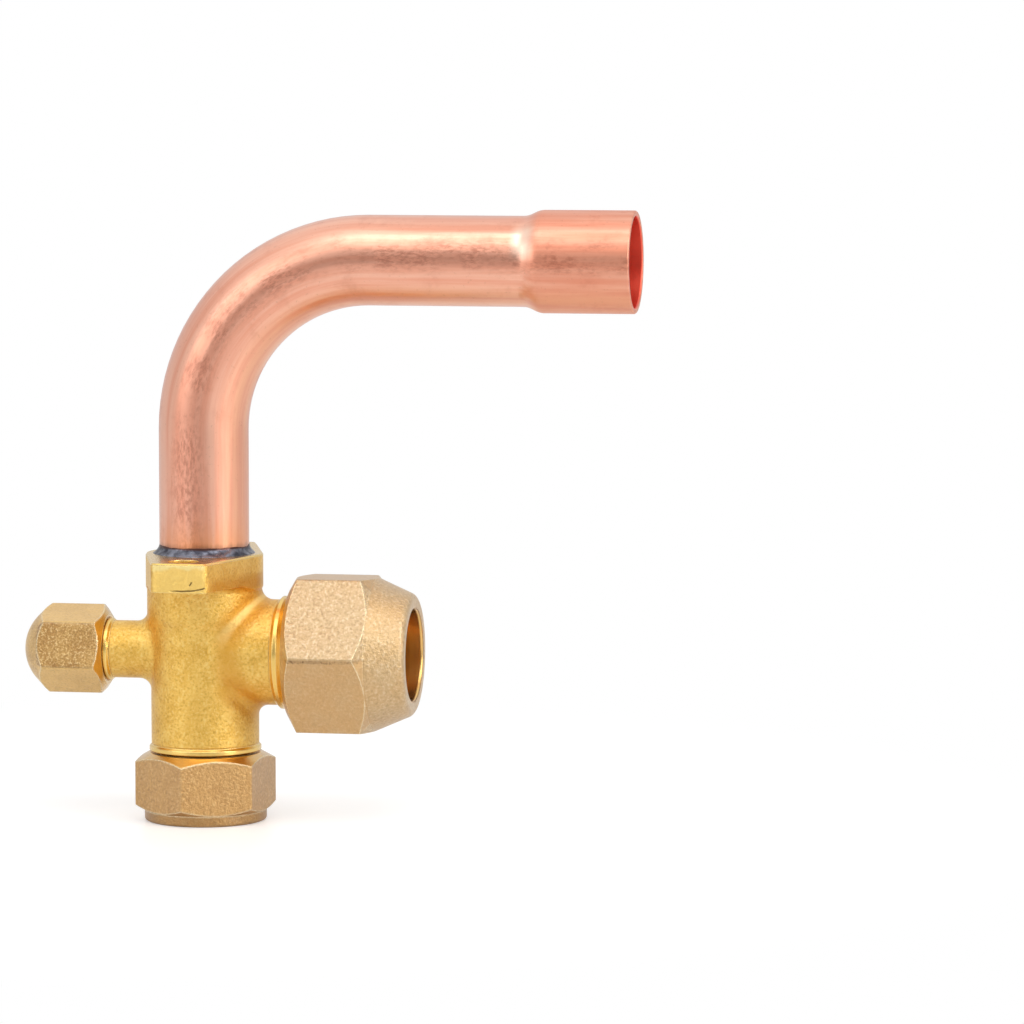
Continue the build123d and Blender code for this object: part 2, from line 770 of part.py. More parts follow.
# ---- depressor core: barrel and its gasket ---------------------------------------------------------------
# Thin brass tube below the plug, closed by a shoulder that the spring stands on, with a tapered PTFE seal.

with BuildPart() as core_barrel:
    with BuildSketch(service_face.offset(barrel_inner)):
        Circle(core_barrel_r)
        Circle(core_shoulder_r, mode=Mode.SUBTRACT)
    extrude(amount=core_barrel_length)
    with BuildSketch(service_face.offset(spring_seat)):
        Circle(core_barrel_bore_r)
    extrude(amount=core_barrel_length - core_shoulder_length, mode=Mode.SUBTRACT)

core_barrel.part.label = "core_barrel"
export_step(core_barrel.part, "parts/core_barrel.step")

with BuildPart() as core_barrel_gasket:
    with BuildSketch(service_profile):
        with BuildLine():
            gasket_bore_r = core_barrel_r + running_clearance / 2
            Polyline(
                (core_gasket_inner, gasket_bore_r),
                (core_gasket_inner, core_bore_r - running_clearance / 2),
                (core_gasket_outer, core_thread_bore_r - running_clearance),
                (plug_inner, core_thread_bore_r - running_clearance),
                (plug_inner, gasket_bore_r),
                close=True,
            )
        make_face()
    revolve(axis=port_axis)

core_barrel_gasket.part.label = "core_barrel_gasket"
export_step(core_barrel_gasket.part, "parts/core_barrel_gasket.step")


# ---- depressor core: pin, spring, cup and seal -----------------------------------------------------------
# The pin runs through plug and barrel. Its collar carries the spring, and its inner end the sealing cup.

with BuildPart() as core_pin:
    with BuildSketch(service_face.offset(pin_inner)):
        Circle(core_pin_r)
    extrude(amount=core_pin_length)
    with BuildSketch(service_face.offset(pin_collar_inner)):
        Circle(core_barrel_bore_r - running_clearance)
    extrude(amount=core_collar_thickness)

core_pin.part.label = "core_pin"
export_step(core_pin.part, "parts/core_pin.step")

with BuildPart() as core_spring:
    spring_path_r = (core_shoulder_r + core_barrel_bore_r) / 2
    spring_start = spring_seat + core_spring_wire / 2
    spring_length = pin_collar_inner - spring_seat - core_spring_wire
    with BuildLine() as coil:
        Helix(
            pitch=spring_length / core_spring_turns,
            height=spring_length,
            radius=spring_path_r,
            center=(-spring_start, 0, port_height),
            direction=(-1, 0, 0),
        )
    with BuildSketch(Plane(origin=coil.line @ 0, z_dir=coil.line % 0)):
        Circle(core_spring_wire / 2)
    sweep(path=coil.wire(), is_frenet=True)

core_spring.part.label = "core_spring"
export_step(core_spring.part, "parts/core_spring.step")

with BuildPart() as core_seal:
    with BuildSketch(service_face.offset(seal_inner)):
        Circle(core_poppet_r - core_poppet_wall)
        Circle(core_pin_r, mode=Mode.SUBTRACT)
    extrude(amount=core_seal_thickness)

core_seal.part.label = "core_seal"
export_step(core_seal.part, "parts/core_seal.step")

with BuildPart() as core_poppet:
    with BuildSketch(service_face.offset(seal_inner + core_seal_grip)):
        Circle(core_poppet_r)
        Circle(core_pin_r, mode=Mode.SUBTRACT)
    extrude(amount=-core_poppet_length)
    with BuildSketch(service_face.offset(seal_inner)):
        Circle(core_poppet_r - core_poppet_wall)
    extrude(amount=core_seal_grip, mode=Mode.SUBTRACT)

core_poppet.part.label = "core_poppet"
export_step(core_poppet.part, "parts/core_poppet.step")
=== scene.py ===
import math

import bmesh
import bpy
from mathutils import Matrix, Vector, noise


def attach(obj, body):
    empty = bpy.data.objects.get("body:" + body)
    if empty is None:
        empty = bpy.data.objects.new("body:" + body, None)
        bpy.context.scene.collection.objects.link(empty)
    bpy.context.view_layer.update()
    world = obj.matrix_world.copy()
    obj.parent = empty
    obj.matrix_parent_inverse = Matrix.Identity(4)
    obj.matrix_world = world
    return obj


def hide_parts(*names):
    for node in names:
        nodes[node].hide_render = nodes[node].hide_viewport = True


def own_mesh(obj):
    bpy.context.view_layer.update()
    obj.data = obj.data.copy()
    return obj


# Service valve for a split air conditioner, standing on its stem cap. Objects are in metres, in the frame of the
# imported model. Places inside a material, and lengths that are multiplied by mm, are in millimetres.
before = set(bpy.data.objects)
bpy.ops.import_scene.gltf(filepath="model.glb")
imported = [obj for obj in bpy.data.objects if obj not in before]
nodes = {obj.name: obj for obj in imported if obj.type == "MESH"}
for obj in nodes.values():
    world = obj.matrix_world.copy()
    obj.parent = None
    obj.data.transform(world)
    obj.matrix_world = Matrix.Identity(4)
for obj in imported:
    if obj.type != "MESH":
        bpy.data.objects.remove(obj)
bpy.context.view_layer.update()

# ---- forged body -------------------------------------------------------------------------------------------
# One hot brass forging, blasted to a fine satin grain. Hub top, collar, port ends and bores are turned bright.
# The tube is brazed into it, and all the other pieces are screwed on or into it.


def shader_tree(name, roughness, metallic=1.0, **sockets):
    """A new material, its node tree and its Principled shader, with constants set on the shader's own sockets."""
    material = bpy.data.materials.new(name)
    material.use_nodes = True
    tree = material.node_tree
    shader = tree.nodes["Principled BSDF"]
    shader.inputs["Roughness"].default_value = roughness
    shader.inputs["Metallic"].default_value = metallic
    for socket, value in sockets.items():
        shader.inputs[socket.replace("_", " ")].default_value = value
    return material, tree, shader


def add(tree, kind, inputs=(), **settings):
    """A node of that kind. inputs are (socket, value or output to link) pairs."""
    made = tree.nodes.new(kind)
    for setting, value in settings.items():
        setattr(made, setting, value)
    for socket, value in inputs:
        if isinstance(value, bpy.types.NodeSocket):
            tree.links.new(value, made.inputs[socket])
        else:
            made.inputs[socket].default_value = value
    return made


def maths(tree, operation, *values, clamp=False):
    """The output of a Math node."""
    return add(tree, "ShaderNodeMath", list(enumerate(values)), operation=operation, use_clamp=clamp).outputs[0]


def times(tree, *values):
    """All the values multiplied."""
    product = values[0]
    for value in values[1:]:
        product = maths(tree, "MULTIPLY", product, value)
    return product


def highest(tree, *values):
    """The highest of the values."""
    top = values[0]
    for value in values[1:]:
        top = maths(tree, "MAXIMUM", top, value)
    return top


def across(tree, first, second):
    """The distance from an axis, from the two distances square to it."""
    squares = [maths(tree, "POWER", side, 2.0) for side in (first, second)]
    return maths(tree, "SQRT", maths(tree, "ADD", *squares))


def ramp(tree, value, low, high, start=0.0, end=1.0):
    """value from low..high mapped smoothly to start..end."""
    pairs = [("Value", value), ("From Min", low), ("From Max", high), ("To Min", start), ("To Max", end)]
    return add(tree, "ShaderNodeMapRange", pairs, interpolation_type="SMOOTHSTEP").outputs["Result"]


def past(tree, value, place, soft):
    """0 before a place and 1 after it, turning over soft on both sides. A negative soft turns it round."""
    return ramp(tree, value, place - soft, place + soft)


def near(tree, value, middle, outer, inner):
    """1 within inner of the middle, fading to 0 at outer."""
    return ramp(tree, maths(tree, "ABSOLUTE", maths(tree, "SUBTRACT", value, middle)), outer, inner)


def mixed(tree, factor, first, second):
    """Two values mixed."""
    return add(tree, "ShaderNodeMix", [(0, factor), (2, first), (3, second)], data_type="FLOAT").outputs[0]


def blend(tree, factor, first, second, how="MIX"):
    """Two colours mixed."""
    pairs = [(0, factor), (6, first), (7, second)]
    return add(tree, "ShaderNodeMix", pairs, data_type="RGBA", blend_type=how).outputs[2]


def cloud(tree, position, scale, detail, roughness=0.5):
    """Noise between 0 and 1."""
    pairs = [("Vector", position), ("Scale", scale), ("Detail", detail), ("Roughness", roughness)]
    return add(tree, "ShaderNodeTexNoise", pairs).outputs[0]


def vector(tree, x, y, z=0.0):
    """Three values as a vector."""
    return add(tree, "ShaderNodeCombineXYZ", [("X", x), ("Y", y), ("Z", z)]).outputs[0]


def effect(name, inputs, outputs):
    """An empty shader node group with named sockets: inputs are (name, kind, default), outputs (name, kind)."""
    group = bpy.data.node_groups.new(name, "ShaderNodeTree")
    kinds = {"value": "NodeSocketFloat", "vector": "NodeSocketVector"}
    for socket, kind, default in inputs:
        made = group.interface.new_socket(socket, in_out="INPUT", socket_type=kinds[kind])
        if default is not None:
            made.default_value = default
    for socket, kind in outputs:
        group.interface.new_socket(socket, in_out="OUTPUT", socket_type=kinds[kind])
    return group, group.nodes.new("NodeGroupInput").outputs, group.nodes.new("NodeGroupOutput").inputs


def use(tree, group, **values):
    """The outputs of a group placed in a tree, with its inputs given by name."""
    pairs = [(socket.replace("_", " "), value) for socket, value in values.items()]
    return add(tree, "ShaderNodeGroup", pairs, node_tree=group).outputs


def surface(tree, shader, skin, roughness, relief, strength, depth, rounded=None):
    """Links a material's colour, roughness and relief to its shader. depth is the relief's, in metres."""
    bump = add(tree, "ShaderNodeBump", [("Strength", strength), ("Distance", depth), ("Height", relief)])
    if rounded is not None:
        tree.links.new(rounded, bump.inputs["Normal"])
    tree.links.new(skin, shader.inputs["Base Color"])
    tree.links.new(roughness, shader.inputs["Roughness"])
    tree.links.new(bump.outputs[0], shader.inputs["Normal"])


def dress(material, *names):
    """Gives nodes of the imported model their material."""
    for name in names:
        nodes[name].data.materials.clear()
        nodes[name].data.materials.append(material)


mm = 0.001

# position on the piece, in millimetres
millimetres, _, result = effect(
    "millimetres", [], [("Position", "vector"), ("X", "value"), ("Y", "value"), ("Z", "value")]
)
place = add(millimetres, "ShaderNodeTexCoord").outputs["Object"]
pairs = [(0, place), (1, (1 / mm, 1 / mm, 1 / mm))]
scaled = add(millimetres, "ShaderNodeVectorMath", pairs, operation="MULTIPLY").outputs[0]
parts = add(millimetres, "ShaderNodeSeparateXYZ", [(0, scaled)]).outputs
millimetres.links.new(scaled, result["Position"])
for letter in "XYZ":
    millimetres.links.new(parts[letter], result[letter])

# blasted grain: fine dimples with coarser lumps, both per millimetre
blasted, given, result = effect(
    "blasted_grain",
    [("Position", "vector", None), ("Grains", "value", 2.0), ("Lumps", "value", 0.3)],
    [("Height", "value"), ("Sparkle", "value"), ("Dimple", "value"), ("Mottle", "value")],
)
fine = cloud(blasted, given["Position"], given["Grains"], 3.0, 0.62)
coarse = cloud(blasted, given["Position"], given["Lumps"], 2.0)
blasted.links.new(maths(blasted, "ADD", fine, times(blasted, coarse, 1.2)), result["Height"])
blasted.links.new(ramp(blasted, fine, 0.50, 0.68), result["Sparkle"])
blasted.links.new(ramp(blasted, fine, 0.48, 0.32), result["Dimple"])
blasted.links.new(ramp(blasted, coarse, 0.3, 0.7), result["Mottle"])

# edges worn bright, with a painted highlight: 1 where the surface turns sharply within the given width, broken up by a
# little noise
edge_wear_and_highlight, given, result = effect(
    "worn_edges_and_highlights",
    [("Position", "vector", None), ("Width", "value", 0.3 * mm), ("Break up", "value", 2.0)],
    [("Edge", "value"), ("Rounded", "vector")],
)
rounded = add(edge_wear_and_highlight, "ShaderNodeBevel", [("Radius", given["Width"])], samples=6).outputs[0]
flat = add(edge_wear_and_highlight, "ShaderNodeNewGeometry").outputs["Normal"]
turn = add(edge_wear_and_highlight, "ShaderNodeVectorMath", [(0, rounded), (1, flat)], operation="DOT_PRODUCT").outputs["Value"]
chatter = cloud(edge_wear_and_highlight, given["Position"], given["Break up"], 2.0)
edge = ramp(edge_wear_and_highlight, maths(edge_wear_and_highlight, "ADD", turn, times(edge_wear_and_highlight, chatter, 0.02)), 1.0, 0.94)
edge_wear_and_highlight.links.new(edge, result["Edge"])
edge_wear_and_highlight.links.new(rounded, result["Rounded"])

# turned rings: the tool's marks round an axis, by the distances along and across it
turned, given, result = effect(
    "turned_rings",
    [("Along", "value", None), ("Across", "value", None), ("Rings", "value", 9.0)],
    [("Height", "value")],
)
turned.links.new(cloud(turned, vector(turned, given["Along"], given["Across"]), given["Rings"], 2.0), result["Height"])

port_height = 30.1  # of both arms' axis
hub_r, flare_arm_r, bore_r = 10.19, 9.35, 8.3
hub_top, collar_top, flare_shoulder, service_shoulder = 47.3, 13.775, 13.6, -16.3
grip_z, nick_z = 42.8, 44.1  # on the ends of the flange's ears

forged_brass, tree, shader = shader_tree("forged_brass", 0.40, Coat_Weight=0.4, Coat_Roughness=0.3, Coat_IOR=1.5)
at = use(tree, millimetres)
grain = use(tree, blasted, Position=at["Position"], Grains=2.1, Lumps=0.35)
edges = use(tree, edge_wear_and_highlight, Position=at["Position"], Width=0.25 * mm, Break_up=1.5)
aside = maths(tree, "ABSOLUTE", at["Y"])
stem_r = across(tree, at["X"], at["Y"])
port_z = maths(tree, "SUBTRACT", at["Z"], port_height)
port_r = across(tree, port_z, at["Y"])
# where a tool has been: hub top, collar and neck, both port ends, bores
machined = highest(
    tree,
    past(tree, at["Z"], hub_top, 0.05),
    past(tree, at["Z"], collar_top, -0.175),
    past(tree, at["X"], flare_shoulder, 0.1),
    past(tree, at["X"], service_shoulder, -0.1),
    times(tree, past(tree, stem_r, bore_r, -0.1), past(tree, aside, bore_r - 0.2, -0.1)),
)
stem_rings = use(tree, turned, Along=at["Z"], Across=stem_r, Rings=9.0)["Height"]
port_rings = use(tree, turned, Along=at["X"], Across=port_r, Rings=9.0)["Height"]
on_port = ramp(tree, maths(tree, "ABSOLUTE", at["X"]), 13.0, 13.2)
rings = mixed(tree, on_port, stem_rings, port_rings)
skin = blend(tree, grain["Mottle"], (0.82, 0.49, 0.090, 1), (0.93, 0.60, 0.140, 1))
skin = blend(tree, times(tree, grain["Dimple"], 0.6), skin, (0.58, 0.31, 0.045, 1))
skin = blend(tree, times(tree, grain["Sparkle"], 0.5), skin, (1.0, 0.78, 0.30, 1))
# painted shade: the hollow corner between hub and flare arm is painted deeper in colour, with a painted highlight
# where the two skins meet
corner = times(tree, near(tree, stem_r, hub_r, 3.2, 1.2), near(tree, port_r, flare_arm_r, 3.2, 1.2))
corner = times(tree, corner, ramp(tree, at["X"], 3.0, 6.0))
hub_side = maths(tree, "SUBTRACT", stem_r, hub_r)
arm_side = maths(tree, "SUBTRACT", port_r, flare_arm_r)
crease_highlight = times(tree, near(tree, hub_side, arm_side, 1.0, 0.3), corner, ramp(tree, port_z, 1.0, 4.0))
skin = blend(tree, times(tree, corner, 0.7), skin, (0.74, 0.37, 0.045, 1))
skin = blend(tree, times(tree, crease_highlight, 0.6), skin, (1.0, 0.72, 0.26, 1))
# painted shade: the ears' sides are painted deeper too, low down where they leave the hub
ear_root_shade = times(
    tree,
    ramp(tree, at["Z"], 45.2, 43.4),
    ramp(tree, at["Z"], 41.6, 42.4),
    ramp(tree, aside, 19.2, 17.0),
    ramp(tree, at["X"], 3.6, 4.8),
)
skin = blend(tree, times(tree, ear_root_shade, 0.6), skin, (0.66, 0.31, 0.025, 1))
# the ears' ends are sheared: paler skin, a wavy bright lip above and a dark lap of flash along the foot
ear_end = ramp(tree, aside, 19.4, 19.7)
wander = maths(tree, "SUBTRACT", cloud(tree, at["Position"], 0.32, 3.0), 0.5)
wander = times(tree, wander, 2.4)
skin = blend(tree, times(tree, ear_end, 0.75), skin, (1.0, 0.70, 0.205, 1))
lip = times(tree, ramp(tree, maths(tree, "ADD", at["Z"], wander), 46.2, 46.8), ear_end)
skin = blend(tree, times(tree, lip, 0.8), skin, (1.0, 0.82, 0.36, 1))
flash_z = maths(tree, "MULTIPLY_ADD", maths(tree, "POWER", at["X"], 2.0), 0.03, grip_z)
flash_z = maths(tree, "ADD", times(tree, wander, 0.25), flash_z)
flash_line = times(tree, near(tree, at["Z"], flash_z, 0.20, 0.05), ramp(tree, at["X"], -2.2, 0.2))
# one ear's end has a short leaning nick as well
lean = maths(tree, "MULTIPLY_ADD", at["Z"], 0.6, 2.2 - 0.6 * nick_z)
nick = times(
    tree,
    near(tree, at["X"], lean, 0.20, 0.06),
    near(tree, at["Z"], nick_z, 0.45, 0.2),
    ramp(tree, at["Y"], 0.0, -1.0),
)
lapped = times(tree, highest(tree, flash_line, nick), ear_end)
skin = blend(tree, times(tree, lapped, 0.85), skin, (0.14, 0.075, 0.02, 1))
skin = blend(tree, machined, skin, (0.93, 0.62, 0.17, 1))
# painted highlight: the worn edges are painted pale, as if catching the light
skin = blend(tree, times(tree, edges["Edge"], 0.7), skin, (1.0, 0.80, 0.38, 1))
smooth = highest(tree, machined, times(tree, edges["Edge"], 0.6))
hammered = times(tree, maths(tree, "SUBTRACT", wander, times(tree, lapped, 1.5)), ear_end)
relief = mixed(tree, machined, maths(tree, "ADD", grain["Height"], hammered), times(tree, rings, 0.12))
roughness = ramp(tree, smooth, 0.0, 1.0, 0.47, 0.22)
surface(tree, shader, skin, roughness, relief, 0.8, 0.22 * mm, edges["Rounded"])
dress(forged_brass, "valve_body")

# ---- cut threads -------------------------------------------------------------------------------------------
# The neck, the flare port and the service port are screw cut. Each thread stands on its pitch cylinder, from
# there to its crest, and fades in and out over a quarter of a turn.


def thread(name, material, axis, pitch, pitch_r, crest_r, start, end, body):
    """A right-hand ridge wound round the stem's axis "z", or round the arms' axis outwards, "x" or "-x"."""
    steps, fade_steps = 60, 15  # in a turn, and in the quarter that fades
    count = int(steps * (end - start) / pitch)
    # its section: share of the pitch along, and height, from 0 at the pitch cylinder to peak at the crest
    peak = 1.06
    section = ((-0.46, -0.12), (-0.08, 1.0), (0.0, peak), (0.08, 1.0), (0.46, -0.12))
    mesh = bmesh.new()
    rows = []
    for step in range(count + 1):
        angle = 2 * math.pi * step / steps
        fade = min(1.0, step / fade_steps, (count - step) / fade_steps)
        row = []
        for share, rise in section:
            along = start + pitch * (step / steps + share * (0.4 + 0.6 * fade))
            out = pitch_r + (crest_r - pitch_r) / peak * (rise * fade if rise > 0 else rise)
            around, up = out * math.cos(angle), out * math.sin(angle)
            if axis == "z":
                row.append(mesh.verts.new(Vector((around, up, along)) * mm))
            elif axis == "x":
                row.append(mesh.verts.new(Vector((along, around, port_height + up)) * mm))
            else:
                row.append(mesh.verts.new(Vector((-along, around, port_height - up)) * mm))
        rows.append(row)
    for here, ahead in zip(rows, rows[1:]):
        for corner in range(len(section)):
            after = (corner + 1) % len(section)
            mesh.faces.new((here[corner], ahead[corner], ahead[after], here[after]))
    mesh.faces.new(rows[0])
    mesh.faces.new(list(reversed(rows[-1])))
    bmesh.ops.recalc_face_normals(mesh, faces=mesh.faces)
    # smooth along the ridge, sharp at its crest and roots
    for face in mesh.faces:
        face.smooth = True
    for line in mesh.edges:
        line.smooth = line.calc_face_angle(0.0) < math.radians(25)
    data = bpy.data.meshes.new(name)
    mesh.to_mesh(data)
    mesh.free()
    data.materials.append(material)
    ridge = bpy.data.objects.new(name, data)
    bpy.context.scene.collection.objects.link(ridge)
    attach(ridge, body)


# axis, pitch, pitch radius, crest radius, start and end: M18 x 1.5, 7/8-14 and 7/16-20
thread("neck_thread", forged_brass, "z", 1.5, 8.513, 8.93, 4.35, 10.85, "valve")
thread("flare_thread", forged_brass, "x", 25.4 / 14, 10.526, 11.045, 18.4, 28.2, "valve")
thread("service_thread", forged_brass, "-x", 25.4 / 20, 5.143, 5.485, 18.3, 24.8, "valve")

# ---- braze ring --------------------------------------------------------------------------------------------
# Silver brazing alloy drawn into the socket round the tube. It sets as a dark glassy ring with a hollow face,
# and its foot and crest wander as a hand torch leaves them.

braze_foot_r, braze_crest_r, braze_foot_z, braze_crest_z = 9.15, 7.99, 47.57, 49.05
braze_inner_r, braze_sunk_z = 7.7, 47.47  # inside the tube's wall, and under the hub's top
braze_steps, braze_rows = 180, 12
braze_mesh = bmesh.new()
loops = []
for step in range(braze_steps):
    around = 2 * math.pi * step / braze_steps
    spot = Vector((math.cos(around), math.sin(around), 0))
    foot_r = braze_foot_r + (0.20 * noise.noise(spot * 1.4) + 0.07 * noise.noise(spot * 5.0))
    climb = 0.28 * noise.noise(spot * 1.8 + Vector((4, 0, 0))) + 0.09 * noise.noise(spot * 6.0)
    crest_z = braze_crest_z + climb
    section = []
    for row in range(braze_rows + 1):
        share = row / braze_rows
        hollow = (1 - share) ** 1.9
        ripple = 0.045 * noise.noise(spot * 9.0 + Vector((0, 0, share * 3))) * math.sin(math.pi * share)
        radius = braze_crest_r + (foot_r - braze_crest_r) * hollow + ripple
        section.append((radius, braze_foot_z + (crest_z - braze_foot_z) * share))
    # back down inside the tube's wall, and out again under the hub's top
    section += [(braze_inner_r, crest_z), (braze_inner_r, braze_sunk_z), (foot_r, braze_sunk_z)]
    loops.append([braze_mesh.verts.new((spot * radius + Vector((0, 0, height))) * mm) for radius, height in section])
for step in range(braze_steps):
    here, ahead = loops[step], loops[(step + 1) % braze_steps]
    for row in range(len(here)):
        after = (row + 1) % len(here)
        braze_mesh.faces.new((here[row], ahead[row], ahead[after], here[after])).smooth = True
braze_data = bpy.data.meshes.new("braze_ring")
braze_mesh.to_mesh(braze_data)
braze_mesh.free()
braze_ring = bpy.data.objects.new("braze_ring", braze_data)
bpy.context.scene.collection.objects.link(braze_ring)
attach(braze_ring, "valve")
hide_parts("braze_fillet")

braze_alloy, tree, shader = shader_tree("braze_alloy", 0.24, 0.9)
at = use(tree, millimetres)
clouds = cloud(tree, at["Position"], 0.6, 4.0)
skin = blend(tree, ramp(tree, clouds, 0.35, 0.7), (0.045, 0.045, 0.062, 1), (0.26, 0.27, 0.33, 1))
# the crest burns darker and browner against the copper
skin = blend(tree, ramp(tree, at["Z"], 48.55, 48.95), skin, (0.10, 0.045, 0.035, 1))
surface(tree, shader, skin, ramp(tree, clouds, 0.3, 0.75, 0.34, 0.16), clouds, 0.5, 0.2 * mm)
braze_data.materials.append(braze_alloy)

# ---- outlet tube -------------------------------------------------------------------------------------------
# Half-hard 5/8 in copper tube, drawn, bent on a mandrel and swaged to take the next tube. Its foot is brazed
# into the hub, and heat marked by the torch.

bend_r, bend_z = 30.0, 69.6  # the bend's radius, and the height where it starts
arm_height = bend_z + bend_r
swage_x = 58.2  # the neck of the swaged end

# place on the bent tube: distance along the centre line, and offset towards the inside of the bend
along_tube, given, result = effect(
    "along_the_tube",
    [("X", "value", None), ("Z", "value", None)],
    [("Length", "value"), ("Inward", "value")],
)
back = maths(along_tube, "SUBTRACT", bend_r, maths(along_tube, "MINIMUM", given["X"], bend_r))
over = maths(along_tube, "SUBTRACT", maths(along_tube, "MAXIMUM", given["Z"], bend_z), bend_z)
reach = across(along_tube, back, over)
along_tube.links.new(maths(along_tube, "SUBTRACT", bend_r, reach), result["Inward"])
arc = times(along_tube, maths(along_tube, "ARCTAN2", over, back), bend_r)
rise = maths(along_tube, "MINIMUM", given["Z"], bend_z)
run = maths(along_tube, "MAXIMUM", given["X"], bend_r)  # counted from the stem, so bend_r too long
length = maths(along_tube, "ADD", maths(along_tube, "ADD", rise, run), arc)
along_tube.links.new(maths(along_tube, "SUBTRACT", length, bend_r), result["Length"])

copper, tree, shader = shader_tree("copper", 0.34, Coat_Roughness=0.30, Coat_IOR=1.6)
at = use(tree, millimetres)
tube = use(tree, along_tube, X=at["X"], Z=at["Z"])
drawn = vector(tree, times(tree, tube["Length"], 0.045), at["Y"], tube["Inward"])
streaks = cloud(tree, drawn, 0.55, 5.0, 0.6)
blotches = cloud(tree, at["Position"], 0.16, 4.0, 0.65)
specks = cloud(tree, at["Position"], 1.7, 3.0)
skin = blend(tree, ramp(tree, streaks, 0.35, 0.65), (0.88, 0.37, 0.235, 1), (0.97, 0.51, 0.355, 1))
skin = blend(tree, times(tree, ramp(tree, blotches, 0.52, 0.72), 0.35), skin, (0.66, 0.25, 0.15, 1))
skin = blend(tree, times(tree, ramp(tree, specks, 0.62, 0.74), 0.25), skin, (0.50, 0.20, 0.12, 1))
# painted reflection: the near flank is painted darker and mottled along its length, standing in for the dark room it
# mirrors
flank = ramp(tree, at["Y"], -3.5, -6.5)
near_flank_reflection = times(tree, flank, near(tree, tube["Inward"], -1.2, 4.2, 0.6))
fine_line = vector(tree, times(tree, tube["Length"], 0.35), at["Y"], tube["Inward"])
mottle = cloud(tree, fine_line, 2.2, 4.0, 0.7)
patches = times(tree, ramp(tree, mottle, 0.38, 0.64), ramp(tree, blotches, 0.34, 0.58))
skin = blend(tree, times(tree, near_flank_reflection, 0.40), skin, (0.76, 0.30, 0.185, 1))
skin = blend(tree, times(tree, patches, near_flank_reflection, 0.85), skin, (0.52, 0.185, 0.110, 1))
# the inside of the bend is warmer
warm = times(tree, ramp(tree, tube["Inward"], 3.0, 7.0), ramp(tree, streaks, 0.30, 0.60))
skin = blend(tree, times(tree, warm, 0.45), skin, (0.95, 0.44, 0.20, 1))
# the swaged end is stretched dull, and its neck has a painted highlight on the upper near side
stretched = ramp(tree, at["X"], swage_x - 0.4, swage_x + 3.3)
skin = blend(tree, stretched, skin, (0.93, 0.86, 0.84, 1), "MULTIPLY")
upper = times(tree, ramp(tree, at["Z"], 99.5, 102.5), ramp(tree, at["Z"], 107.5, 105.0))
neck_highlight = times(tree, near(tree, at["X"], swage_x, 2.6, 0.6), upper, flank)
skin = blend(tree, times(tree, neck_highlight, 0.8), skin, (1.0, 0.74, 0.58, 1))
# inside it the metal only sees itself
arm_r = across(tree, maths(tree, "SUBTRACT", at["Z"], arm_height), at["Y"])
inside = times(tree, ramp(tree, arm_r, 8.2, 8.05), ramp(tree, at["X"], 61.5, 62.0))
skin = blend(tree, inside, skin, (0.95, 0.14, 0.085, 1))
# the torch's tint at the foot, and its scorch against the braze
heat = ramp(tree, maths(tree, "ADD", tube["Length"], times(tree, streaks, 7.0)), 60.0, 50.0)
skin = blend(tree, times(tree, heat, 0.55), skin, (0.92, 0.36, 0.12, 1))
scorch = ramp(tree, maths(tree, "ADD", tube["Length"], times(tree, streaks, 2.5)), 51.3, 49.8)
skin = blend(tree, times(tree, scorch, 0.7), skin, (0.25, 0.09, 0.05, 1))
roughness = maths(tree, "MULTIPLY_ADD", stretched, 0.12, ramp(tree, blotches, 0.3, 0.8, 0.29, 0.42))
relief = maths(tree, "ADD", cloud(tree, drawn, 0.3, 2.0), times(tree, streaks, 0.08))
surface(tree, shader, skin, roughness, relief, 0.3, 0.6 * mm)
tree.links.new(ramp(tree, stretched, 0.0, 1.0, 0.8, 0.3), shader.inputs["Coat Weight"])
dress(copper, "outlet_tube")
